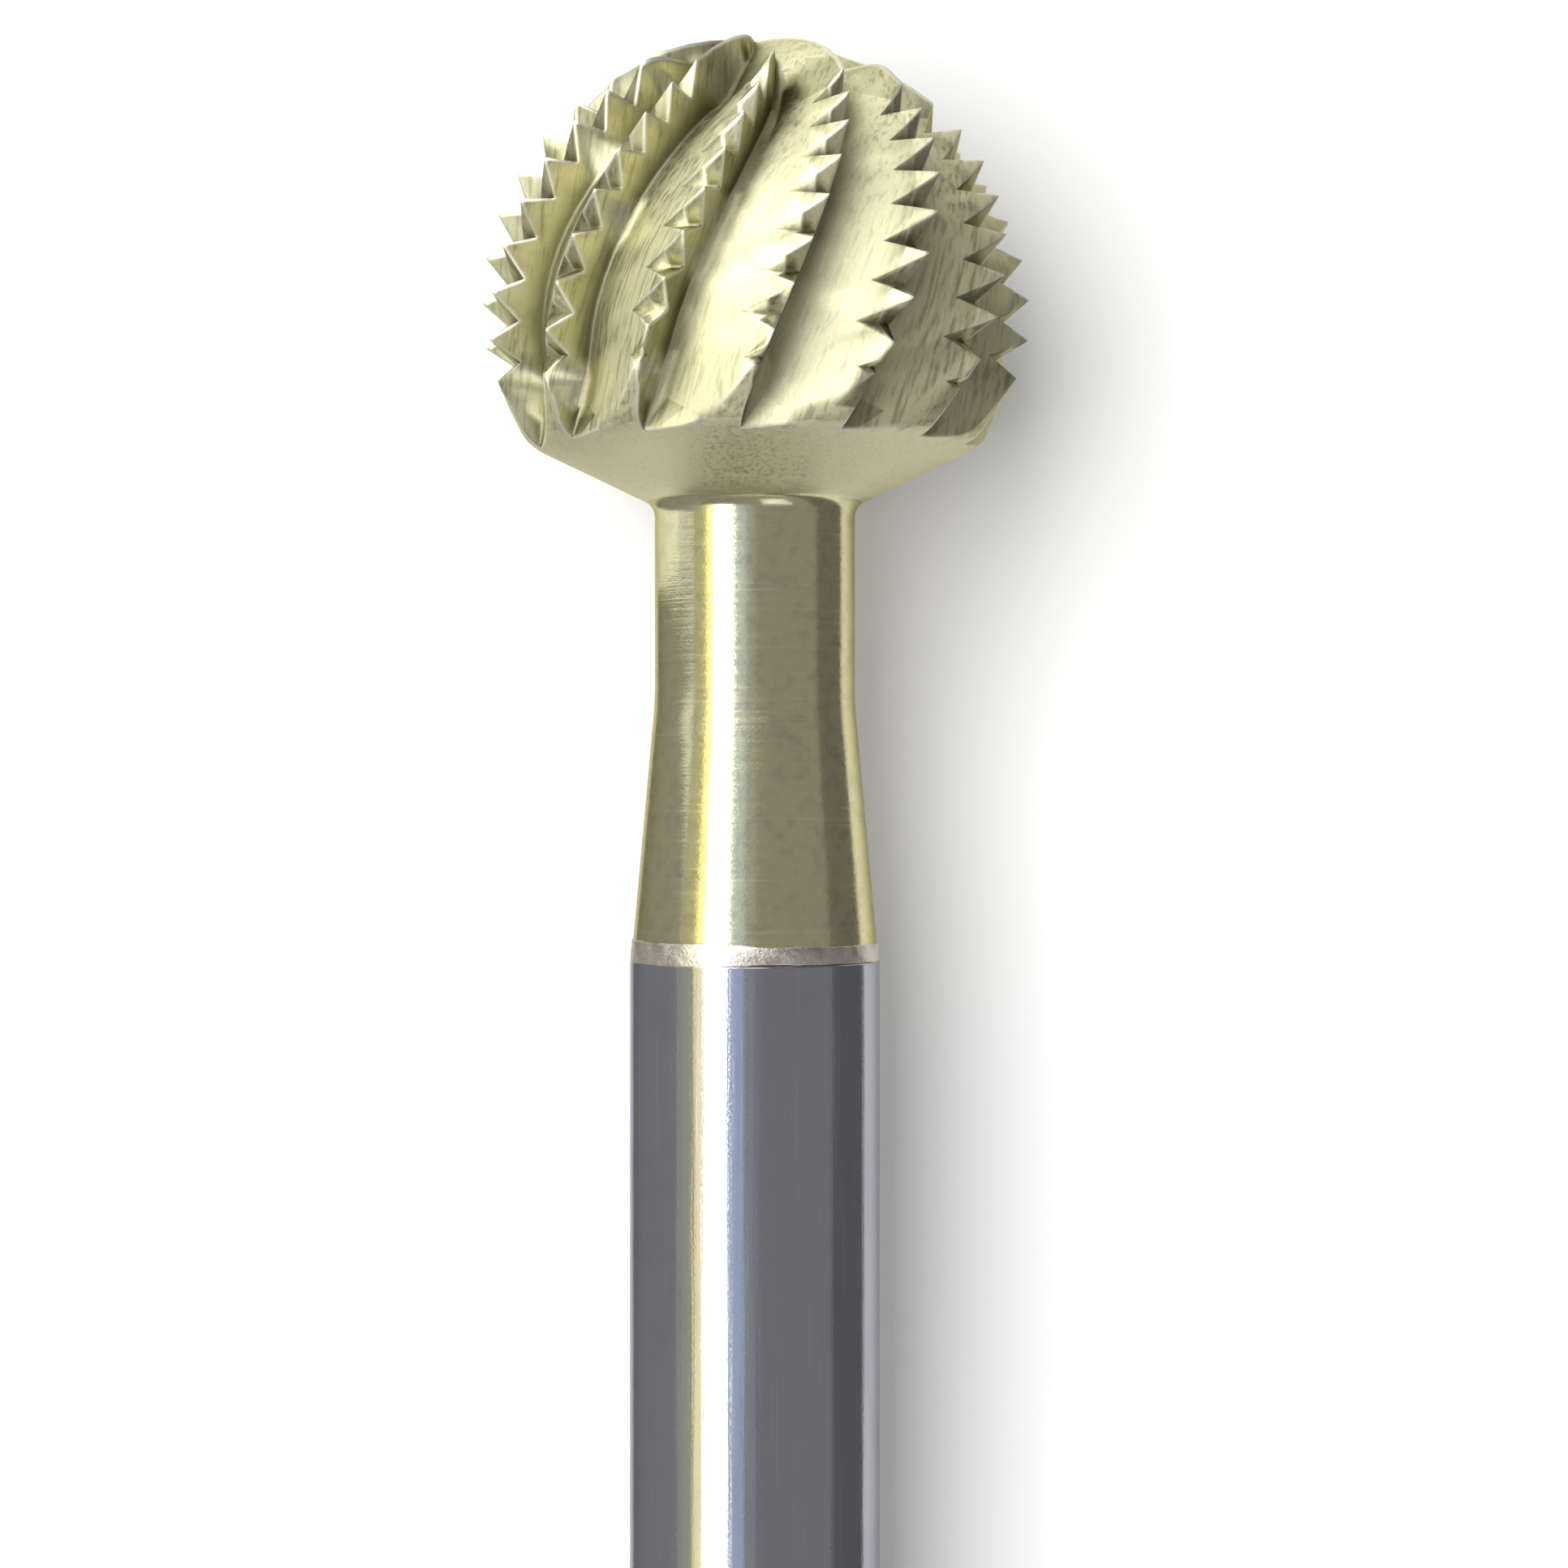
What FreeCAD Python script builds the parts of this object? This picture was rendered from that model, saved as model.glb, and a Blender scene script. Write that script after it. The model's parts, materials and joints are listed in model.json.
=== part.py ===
"""Round surgical bur with helical, cross-cut blades, brazed to a plain straight shank.

The bur lies at rest on the plane z = 0 with its tip towards +Y: two tooth tips and the rim
of the shank's free end touch the plane. Each piece is built upright along its own Z axis,
rear end at z = 0 and tip upwards, and its Placement then lays it down.
"""
import FreeCAD, Part
import math
import os

import Sketcher
from FreeCAD import Placement, Rotation, Vector

# Driving dimensions, in millimetres, degrees and whole numbers.
SIZES = [
    ("overall_length", 44.5, "tip to free end of the shank"),
    ("shank_diameter", 2.35, "straight handpiece shank"),
    ("shank_front_chamfer", 0.05, "broken edge beside the braze"),
    ("shank_end_chamfer", 0.3, "lead-in chamfer at the free end"),
    ("braze_thickness", 0.12, "braze layer between carbide and steel"),
    ("braze_recess", 0.02, "how far the braze lies under the edges it joins"),
    ("cutter_length", 8.5, "tip of the ball to the rear face of the carbide"),
    ("rear_diameter", 2.3, "carbide at the braze"),
    ("neck_diameter", 1.88, "parallel part of the neck"),
    ("taper_length", 2.3, "neck taper down to the braze"),
    ("head_diameter", 5.15, "diameter over the tooth tips"),
    ("blank_allowance", 0.05, "stock over the tooth tips that grinding removes"),
    ("back_cone_start", 0.45, "ball centre down to the start of the back cone"),
    ("back_cone_end", 1.22, "ball centre down to the shoulder edge"),
    ("shoulder_diameter", 4.26, "diameter at the shoulder edge"),
    ("shoulder_drop", 1.79, "ball centre down to where shoulder meets neck"),
    ("shoulder_radius", 0.45, "rounding of the shoulder edge"),
    ("neck_radius", 0.18, "fillet between shoulder and neck"),
    ("flute_drop", 1.5, "ball centre down to the lowest reach of the flutes"),
    ("blade_pairs", 7, "pairs of a long and a short blade round the head"),
    ("edge_angle", 9.5, "azimuth of the first cutting edge at the equator"),
    ("edge_twist", 0.42, "azimuth gained by an edge per degree of latitude"),
    ("gullet_depth", 0.5, "depth of the flutes"),
    ("rake_width", 1.5, "azimuth from cutting edge to the foot of the rake face"),
    ("floor_width", 3.6, "azimuth across the flute floor"),
    ("runout_start", 15.0, "latitude below the equator where the flute floor rises"),
    ("runout_end", 37.0, "latitude below the equator where the floor is at the ball"),
    ("merge_start", 59.0, "latitude where every second blade starts to fade out"),
    ("merge_end", 71.0, "latitude where every second blade has gone"),
    ("crown_latitude", 84.0, "latitude where the long flutes end"),
    ("crown_depth", 0.16, "depth of the flutes at the crown"),
    ("notch_depth", 0.27, "depth of the cross cuts"),
    ("notch_low_share", 0.5, "share of that depth where the flute floor rises"),
    ("notch_under_angle", 43.0, "lean of a cross cut's wall under the tooth above it"),
    ("notch_top_angle", 28.0, "lean of its wall on top of the tooth below it"),
    ("notch_pitch", 9.0, "latitude from one cross cut to the next"),
    ("notch_lowest", 19.7, "lowest latitude of the cross cuts, below the equator"),
    ("notch_phase", 0.3, "rise of the first blade's lowest cut from there, as a share of a pitch"),
    ("notch_count", 8, "cross cuts on each blade"),
    ("notch_starts", 2, "starts of the left-hand spiral that the cross cuts follow"),
]

PARTS_FOLDER = "parts"
SHEET = "sizes"
FLUTE_STATIONS = 16    # latitudes at which the lines of the fluted form are set out
FLUTE_OVERRUN = 3.0    # latitude by which the flute lines pass the end of the run-out
NOTCH_CLEARANCE = 0.1  # how far a cross cut's tool stands out of the ball
NOTCH_OVERRUN = 0.25   # share of the blade pitch by which it sweeps past its exit
ROLL_STEPS = 400       # positions tried over one blade pitch for the way the head rests
EDGE_TOLERANCE = 1e-4  # how closely an edge's size and place must agree with the sheet
X_AXIS, Y_AXIS = -1, -2         # a sketch's numbers for its own axes
START, END, CENTRE = 1, 2, 3    # and for the points of a curve; its origin is the X axis's start
NODES = ("carbide_cutter", "braze_layer", "steel_shank")


def make_sheet(doc):
    """The spreadsheet that holds every driving dimension, one alias each."""
    sheet = doc.addObject("Spreadsheet::Sheet", SHEET)
    for row, (alias, value, note) in enumerate(SIZES, start=1):
        sheet.set("A%d" % row, alias)
        sheet.set("B%d" % row, str(value))
        sheet.set("C%d" % row, note)
        sheet.setAlias("B%d" % row, alias)
    doc.recompute()
    return sheet


def new_body(doc, name):
    """An empty body, which the features that follow fill."""
    return doc.addObject("PartDesign::Body", name)


def new_sketch(doc, body, name, role):
    """An empty sketch on one of the body's own origin planes."""
    sketch = body.newObject("Sketcher::SketchObject", name)
    plane = [f for f in body.Origin.OriginFeatures if f.Role == role][0]
    sketch.AttachmentSupport = [(plane, "")]
    sketch.MapMode = "FlatFace"
    doc.recompute()
    return sketch


def tie(sketch, side, axis, text):
    """Ties one coordinate of a side's start point to an expression over the sheet."""
    if text == "0":
        line = {"x": Y_AXIS, "y": X_AXIS}[axis]
        sketch.addConstraint(Sketcher.Constraint("PointOnObject", side, START, line))
        return
    kind = {"x": "DistanceX", "y": "DistanceY"}[axis]
    value = float(sketch.evalExpression(text))
    constraint = Sketcher.Constraint(kind, X_AXIS, START, side, START, value)
    number = sketch.addConstraint(constraint)
    sketch.setExpression("Constraints[%d]" % number, text)


def half_section(doc, body, name, corners, arc_side=None):
    """A closed half section, x outwards and y up the axis, its corners given as expressions.

    The side numbered arc_side is an arc whose centre lies on the axis.
    """
    sketch = new_sketch(doc, body, name, "XZ_Plane")
    spots = [Vector(*(float(sketch.evalExpression(t)) for t in pair), 0) for pair in corners]
    for side, start in enumerate(spots):
        end = spots[(side + 1) % len(spots)]
        if side == arc_side:
            rise = end.y - start.y
            centre = Vector(0, start.y + (rise * rise - start.x * start.x) / (2 * rise), 0)
            circle = Part.Circle(centre, Vector(0, 0, 1), end.y - centre.y)
            low = math.atan2(start.y - centre.y, start.x)
            sketch.addGeometry(Part.ArcOfCircle(circle, low, math.pi / 2))
            sketch.addConstraint(Sketcher.Constraint("PointOnObject", side, CENTRE, Y_AXIS))
        else:
            sketch.addGeometry(Part.LineSegment(start, end))
    for side in range(len(spots)):
        after = (side + 1) % len(spots)
        sketch.addConstraint(Sketcher.Constraint("Coincident", side, END, after, START))
    for side, pair in enumerate(corners):
        for axis, text in zip("xy", pair):
            tie(sketch, side, axis, text)
    doc.recompute()
    return sketch


def revolve(doc, body, sketch, name):
    """The sketch turned a full circle about the body's axis."""
    feature = body.newObject("PartDesign::Revolution", name)
    feature.Profile = sketch
    feature.ReferenceAxis = (sketch, ["V_Axis"])
    feature.Angle = 360
    sketch.Visibility = False
    doc.recompute()


def ring_edge(shape, radius, height):
    """The name of the circular edge with that radius about the axis at that height."""
    for number, edge in enumerate(shape.Edges, start=1):
        curve = edge.Curve
        if not isinstance(curve, Part.Circle):
            continue
        miss = max(abs(curve.Radius - radius), abs(curve.Center.z - height))
        if miss < EDGE_TOLERANCE:
            return "Edge%d" % number
    raise ValueError("no edge of radius %g at height %g" % (radius, height))


def dress_edge(doc, body, kind, name, size_text, radius, height):
    """A fillet or a chamfer on one circular edge of the body."""
    base = body.Tip
    feature = body.newObject("PartDesign::" + kind, name)
    feature.Base = (base, [ring_edge(base.Shape, radius, height)])
    dimension = {"Fillet": "Radius", "Chamfer": "Size"}[kind]
    setattr(feature, dimension, float(feature.evalExpression(size_text)))
    feature.setExpression(dimension, size_text)
    doc.recompute()


def make_blank(doc, sheet):
    """The turned blank: ball, back cone, rounded shoulder, neck and taper in one piece."""
    body = new_body(doc, "blank")
    centre = "(sizes.cutter_length - sizes.head_diameter / 2)"
    ball = "(sizes.head_diameter / 2 + sizes.blank_allowance)"
    corners = [
        ("0", "0"),
        ("sizes.rear_diameter / 2", "0"),
        ("sizes.neck_diameter / 2", "sizes.taper_length"),
        ("sizes.neck_diameter / 2", centre + " - sizes.shoulder_drop"),
        ("sizes.shoulder_diameter / 2", centre + " - sizes.back_cone_end"),
        ("sqrt(%s ^ 2 - sizes.back_cone_start ^ 2)" % ball,
         centre + " - sizes.back_cone_start"),
        ("0", centre + " + " + ball),
    ]
    sketch = half_section(doc, body, "blank_profile", corners, arc_side=5)
    revolve(doc, body, sketch, "turned_blank")
    height = sheet.cutter_length - sheet.head_diameter / 2
    dress_edge(doc, body, "Fillet", "shoulder_rounding", "sizes.shoulder_radius",
               sheet.shoulder_diameter / 2, height - sheet.back_cone_end)
    dress_edge(doc, body, "Fillet", "neck_fillet", "sizes.neck_radius",
               sheet.neck_diameter / 2, height - sheet.shoulder_drop)
    return body


class FlutedForm:
    """The ground form of the ball: helical blades with a rake face, a floor and a relief.

    Lines run from below the run-out up to the crown. Four of them bound each flute: a
    cutting edge, the foot of its rake face, the heel of the next relief and the next edge.
    Every second blade fades into its neighbour's relief before the crown.
    """

    def __init__(self, sheet):
        self.size = sheet
        self.radius = sheet.head_diameter / 2
        self.centre = Vector(0, 0, sheet.cutter_length - self.radius)
        self.blades = 2 * round(sheet.blade_pairs)
        self.pitch = 360.0 / self.blades
        self.heel = sheet.rake_width + sheet.floor_width

    def edge_azimuth(self, blade, latitude):
        """Azimuth of a cutting edge, in degrees from straight up when the bur lies down."""
        return self.size.edge_angle + blade * self.pitch + self.size.edge_twist * latitude

    def point(self, distance, azimuth, latitude):
        """A point at a distance from the ball's centre."""
        turn = math.radians(azimuth - 90)
        rise = math.radians(latitude)
        out = Vector(math.cos(rise) * math.cos(turn), math.cos(rise) * math.sin(turn),
                     math.sin(rise))
        return self.centre + out * distance

    def depth(self, latitude):
        """Depth of the flutes under the tooth tips."""
        size = self.size
        if latitude < -size.runout_start:
            share = (-latitude - size.runout_start) / (size.runout_end - size.runout_start)
            return size.gullet_depth * (1 - share * share)
        share = max(0.0, latitude - size.merge_start) / (size.crown_latitude - size.merge_start)
        return size.gullet_depth + share * (size.crown_depth - size.gullet_depth)

    def fade(self, latitude):
        """How far the short blades have faded, from 0 to 1."""
        share = (latitude - self.size.merge_start) / (self.size.merge_end - self.size.merge_start)
        share = min(1.0, max(0.0, share))
        return share * share * (3 - 2 * share)

    def section(self, latitude):
        """Offset and depth of the six lines of a long and a short blade at one latitude."""
        depth = self.depth(latitude)
        fade = self.fade(latitude)
        rake = self.size.rake_width
        lines = [(0.0, 0.0), (rake, depth), (self.heel, depth)]
        for offset, own in ((0.0, 0.0), (rake, depth), (self.heel, depth)):
            azimuth = self.pitch + offset
            merged = depth * (2 * self.pitch - azimuth) / (2 * self.pitch - self.heel)
            lines.append((azimuth, own + fade * (merged - own)))
        return lines

    def line(self, blade, number):
        """The points of one line of a pair of blades, from the lowest station to the crown."""
        low = -self.size.runout_end - FLUTE_OVERRUN
        step = (self.size.crown_latitude - low) / (FLUTE_STATIONS - 1)
        points = []
        for station in range(FLUTE_STATIONS):
            latitude = low + station * step
            offset, depth = self.section(latitude)[number]
            azimuth = self.edge_azimuth(blade, latitude) + offset
            points.append(self.point(self.radius - depth, azimuth, latitude))
        return points

    def curves(self):
        """Every line round the head as a smooth edge, in order of azimuth."""
        edges = []
        for blade in range(0, self.blades, 2):
            for number in range(6):
                curve = Part.BSplineCurve()
                curve.interpolate(self.line(blade, number))
                edges.append(curve.toShape())
        return edges

    def solid(self):
        """The closed form: ruled flanks between the lines, and a fan at either end."""
        edges = self.curves()
        crown = self.centre + Vector(0, 0, self.radius)
        base = self.centre - Vector(0, 0, self.radius)
        faces = []
        for left, right in zip(edges, edges[1:] + edges[:1]):
            faces.append(Part.makeRuledSurface(left, right))
            for spot, end in ((0, base), (-1, crown)):
                corners = [left.Vertexes[spot].Point, right.Vertexes[spot].Point, end]
                faces.append(Part.Face(Part.makePolygon(corners + corners[:1])))
        shell = Part.makeShell(faces)
        shell.sewShape()
        solid = Part.makeSolid(shell)
        if solid.Volume < 0:
            solid.reverse()
        return solid

    def notch_latitudes(self, blade):
        """Latitudes of the cross cuts on one blade, staggered from blade to blade."""
        size = self.size
        stagger = (size.notch_phase - blade * size.notch_starts / self.blades) % 1
        first = -size.notch_lowest + stagger * size.notch_pitch
        return [first + number * size.notch_pitch for number in range(round(size.notch_count))]

    def notch_depth(self, latitude):
        """Depth of a cross cut, which is less where the flute floor rises."""
        share = self.size.notch_low_share if latitude < -self.size.runout_start else 1.0
        return share * self.size.notch_depth

    def lean(self, depth, angle):
        """Latitude by which a wall that leans at an angle has moved at that depth."""
        return math.degrees(depth * math.tan(math.radians(angle)) / self.radius)

    def notch(self, blade, latitude):
        """One cross cut: an uneven V, swept back from a flute across one land.

        One wall is the top of the tooth below it, and the other, which leans more, is the
        underside of the tooth above. It follows the slope of the spiral.
        """
        size = self.size
        edge = self.edge_azimuth(blade, latitude)
        start = edge + self.heel
        depth = self.notch_depth(latitude)
        deep = depth + NOTCH_CLEARANCE
        above = self.lean(deep, size.notch_under_angle)
        below = self.lean(deep, size.notch_top_angle)
        top = (self.radius + NOTCH_CLEARANCE) / math.cos(math.radians(above + below) / 2)
        root = self.point(self.radius - depth, start, latitude)
        upper = self.point(top, start, latitude + above)
        lower = self.point(top, start, latitude - below)
        face = Part.Face(Part.makePolygon([root, upper, lower, root]))
        share = depth / self.depth(latitude)
        length = self.heel + share * (self.pitch - self.heel) + NOTCH_OVERRUN * self.pitch
        sweep = face.revolve(self.centre, Vector(0, 0, 1), -length)
        outward = self.point(self.radius, edge, latitude) - self.centre
        slope = math.degrees(math.atan(size.notch_starts * size.notch_pitch / 360))
        return sweep.rotate(self.centre, outward, -slope)

    def reach(self, latitude):
        """Distance from the ball's centre out to a tooth tip, which the back cone may limit."""
        size = self.size
        start = math.sqrt((self.radius + size.blank_allowance) ** 2 - size.back_cone_start ** 2)
        run = size.back_cone_end - size.back_cone_start
        slope = (start - size.shoulder_diameter / 2) / run
        fall = math.radians(-latitude)
        cone = (start + slope * size.back_cone_start) / (math.cos(fall) + slope * math.sin(fall))
        return min(self.radius, cone) if latitude < 0 else self.radius

    def tips(self):
        """The corners of the teeth, one on either side of each cross cut."""
        size = self.size
        tips = []
        for blade in range(self.blades):
            for cut in self.notch_latitudes(blade):
                depth = self.notch_depth(cut)
                below = self.lean(depth, size.notch_top_angle)
                above = self.lean(depth, size.notch_under_angle)
                for latitude in (cut - below, cut + above):
                    azimuth = self.edge_azimuth(blade, latitude)
                    tips.append(self.point(self.reach(latitude), azimuth, latitude))
        return tips


def make_cutter(doc, sheet, form, placement):
    """The one-piece carbide: the blank with its flutes and cross cuts ground in."""
    blank = make_blank(doc, sheet)
    fluted = doc.addObject("Part::Feature", "fluted_form")
    fluted.Shape = form.solid()

    slab = doc.addObject("Part::Cylinder", "grinding_zone")
    slab.setExpression("Radius", "sizes.head_diameter")
    slab.setExpression("Height", "sizes.flute_drop + sizes.head_diameter")
    slab.setExpression(
        "Placement.Base.z", "sizes.cutter_length - sizes.head_diameter / 2 - sizes.flute_drop"
    )
    waste = doc.addObject("Part::Cut", "flute_waste")
    waste.Base, waste.Tool = slab, fluted

    ground = doc.addObject("Part::Cut", "fluted_blank")
    ground.Base, ground.Tool = blank, waste

    # Neighbouring cuts overlap above the ball, so every second one is left to a second pass.
    base = ground
    for number, name in enumerate(("half_crosscut", "carbide_cutter")):
        cuts = doc.addObject("Part::Feature", "cross_cuts_%d" % number)
        cuts.Shape = Part.makeCompound([
            form.notch(blade, latitude)
            for blade in range(form.blades)
            for latitude in form.notch_latitudes(blade)[number::2]
        ])
        cutter = doc.addObject("Part::Cut", name)
        cutter.Base, cutter.Tool = base, cuts
        base = cutter
    cutter.Placement = placement
    doc.recompute()


def make_braze(doc, placement):
    """The thin braze layer, its rim lying just under the edges on either side."""
    body = new_body(doc, "braze_layer")
    corners = [
        ("0", "0"),
        ("sizes.shank_diameter / 2 - sizes.shank_front_chamfer - sizes.braze_recess", "0"),
        ("sizes.rear_diameter / 2 - sizes.braze_recess", "sizes.braze_thickness"),
        ("0", "sizes.braze_thickness"),
    ]
    revolve(doc, body, half_section(doc, body, "braze_profile", corners), "braze_disc")
    body.Placement = placement


def make_shank(doc, sheet, placement):
    """The plain ground shank with a chamfer at either end."""
    body = new_body(doc, "steel_shank")
    sketch = new_sketch(doc, body, "shank_section", "XY_Plane")
    radius = sheet.shank_diameter / 2
    sketch.addGeometry(Part.Circle(Vector(0, 0, 0), Vector(0, 0, 1), radius))
    sketch.addConstraint(Sketcher.Constraint("Coincident", 0, CENTRE, X_AXIS, START))
    number = sketch.addConstraint(Sketcher.Constraint("Diameter", 0, sheet.shank_diameter))
    sketch.setExpression("Constraints[%d]" % number, "sizes.shank_diameter")
    pad = body.newObject("PartDesign::Pad", "ground_bar")
    pad.Profile = sketch
    pad.setExpression(
        "Length", "sizes.overall_length - sizes.cutter_length - sizes.braze_thickness"
    )
    sketch.Visibility = False
    doc.recompute()
    dress_edge(doc, body, "Chamfer", "front_chamfer", "sizes.shank_front_chamfer",
               radius, pad.Length.Value)
    dress_edge(doc, body, "Chamfer", "end_chamfer", "sizes.shank_end_chamfer", radius, 0)
    body.Placement = placement


class RestPose:
    """How the bur lies: rolled to where it tilts least, on two tips and the shank's rim."""

    def __init__(self, sheet, form):
        self.size = sheet
        self.tail = sheet.overall_length - sheet.cutter_length
        self.rim_radius = sheet.shank_diameter / 2
        self.rim_height = sheet.shank_end_chamfer
        shift = Vector(0, 0, self.tail)
        self.tips = [tip + shift for tip in form.tips()]
        steps = range(-ROLL_STEPS // 2, ROLL_STEPS // 2 + 1)
        rolls = [form.pitch * step / ROLL_STEPS for step in steps]
        self.roll = min(rolls, key=self.tilt_at)
        self.tilt = self.tilt_at(self.roll)

    def tilt_at(self, roll):
        """Upward tilt of the tip, in radians, when the lowest tip and the rim are level."""
        down = math.radians(90 - roll)
        tilt = 0.0
        for tip in self.tips:
            reach = tip.x * math.cos(down) + tip.y * math.sin(down)
            span = tip.z - self.rim_height
            tilt = max(tilt, math.atan2(reach - self.rim_radius, span))
        return tilt

    def placement(self, along):
        """The placement of a piece whose rear end is at that distance along the axis."""
        turn = Rotation(Vector(1, 0, 0), -90 + math.degrees(self.tilt))
        turn = turn.multiply(Rotation(Vector(0, 0, 1), self.roll))
        lift = self.rim_radius * math.cos(self.tilt) - self.rim_height * math.sin(self.tilt)
        middle = self.size.overall_length / 2 * math.cos(self.tilt)
        base = turn.multVec(Vector(0, 0, along)) + Vector(0, -middle, lift)
        return Placement(base, turn)


def check(doc):
    """Stops the script if any object has failed or any piece isn't a sound solid."""
    for item in doc.Objects:
        if "Invalid" in item.State or "Error" in item.State:
            raise RuntimeError("%s failed: %s" % (item.Name, item.State))
    for node in NODES:
        shape = doc.getObject(node).Shape
        if shape.isNull() or not shape.isValid() or len(shape.Solids) != 1:
            raise RuntimeError("%s isn't one sound solid" % node)


def export(doc):
    """Writes each piece to its own file."""
    os.makedirs(PARTS_FOLDER, exist_ok=True)
    for node in NODES:
        item = doc.getObject(node)
        item.Label = node
        item.Shape.exportStep("%s/%s.step" % (PARTS_FOLDER, node))
        print(node, "volume %.4f" % item.Shape.Volume, "faces", len(item.Shape.Faces))


def main():
    """Builds the bur and writes its pieces."""
    doc = FreeCAD.newDocument("surgical_bur")
    sheet = make_sheet(doc)
    form = FlutedForm(sheet)
    pose = RestPose(sheet, form)
    tail = sheet.overall_length - sheet.cutter_length
    make_shank(doc, sheet, pose.placement(0.0))
    make_braze(doc, pose.placement(tail - sheet.braze_thickness))
    make_cutter(doc, sheet, form, pose.placement(tail))
    doc.recompute()
    check(doc)
    export(doc)
    print("roll %.3f tilt %.3f" % (pose.roll, math.degrees(pose.tilt)))


main()
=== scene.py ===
"""Looks of a round surgical bur: its finishes, its braze joint, its ground shank and the studio.

Lengths on the bur are in millimetres and become metres where a mesh is made. A place on the
bur is given in its own frame: X to the right, Y along the axis from the shank's free end to
the tip, and Z up, square to the axis.
"""
from __future__ import annotations

import json
import logging
import math
from dataclasses import dataclass
from enum import Enum

import bmesh
import bpy
from mathutils import Matrix, Vector


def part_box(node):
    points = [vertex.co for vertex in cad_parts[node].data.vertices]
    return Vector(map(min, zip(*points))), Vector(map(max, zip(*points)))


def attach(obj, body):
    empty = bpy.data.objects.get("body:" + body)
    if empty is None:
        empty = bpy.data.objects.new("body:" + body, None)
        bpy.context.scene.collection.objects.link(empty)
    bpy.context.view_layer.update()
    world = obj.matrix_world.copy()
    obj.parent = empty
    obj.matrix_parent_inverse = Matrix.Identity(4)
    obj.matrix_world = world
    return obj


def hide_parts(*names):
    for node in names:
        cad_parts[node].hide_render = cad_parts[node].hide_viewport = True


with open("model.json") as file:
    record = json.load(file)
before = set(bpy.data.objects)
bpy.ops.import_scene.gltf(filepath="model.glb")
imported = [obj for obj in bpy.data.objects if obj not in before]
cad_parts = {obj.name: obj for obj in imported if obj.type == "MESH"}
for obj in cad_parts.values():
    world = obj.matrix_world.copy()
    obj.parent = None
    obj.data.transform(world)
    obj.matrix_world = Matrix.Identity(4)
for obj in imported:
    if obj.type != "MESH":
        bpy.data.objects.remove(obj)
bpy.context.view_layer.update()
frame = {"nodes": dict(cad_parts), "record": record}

LOG = logging.getLogger("surgical_bur")
MM = 0.001
BODY = "root"
GROUND = "ground"
LAND_MARK = 0.5

Colour = tuple[float, float, float]
Corner = tuple[float, float, float]
Spot = tuple[float, float]
Span = tuple[float, float]
Ring = list[bmesh.types.BMVert]
Socket = bpy.types.NodeSocket

WHITE: Colour = (1.0, 1.0, 1.0)
FULL: Span = (0.0, 1.0)


class Grain(Enum):
    """The way that the marks of the last machining run.

    Each value says how fine they are to the right, along and up, for each millimetre.
    """

    ROUND = (0.7, 26.0, 0.7)
    ALONG_BLADE = (24.0, 2.2, 24.0)
    ALONG_BAR = (26.0, 0.5, 26.0)
    NONE = (9.0, 9.0, 9.0)


@dataclass
class BurAxis:
    """The bur's own frame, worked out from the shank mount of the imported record.

    Attributes:
        mount: Name of the mount whose axis points out of the shank's free end.
        overall: Length from the free end to the tip.
        ball_centre: Distance of the ball's centre from the free end.
        shank_diameter: Diameter of the shank.
    """

    mount: str = "shank"
    overall: float = 44.5
    ball_centre: float = 41.925
    shank_diameter: float = 2.35

    def __post_init__(self) -> None:
        """Reads the mount and sets the frame's axes and origin."""
        mounts = frame["record"]["mounts"]
        found = next(item for item in mounts if item["name"] == self.mount)
        self.along = -Vector(found["axis"]).normalized()
        self.right = Vector((1.0, 0.0, 0.0))
        self.up = self.right.cross(self.along)
        self.tilt = math.asin(self.along.z)
        middle = Vector(found["pos_m"])
        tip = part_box("carbide_cutter")[1].y
        reach = (tip - middle.y) / self.along.y
        self.origin = middle + self.along * (reach - self.overall * MM)

    def place(self, x: float, y: float, z: float) -> Vector:
        """The point, in metres, that is so far right of, along and above the axis."""
        return self.origin + (self.right * x + self.along * y + self.up * z) * MM


AXIS = BurAxis()


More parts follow.
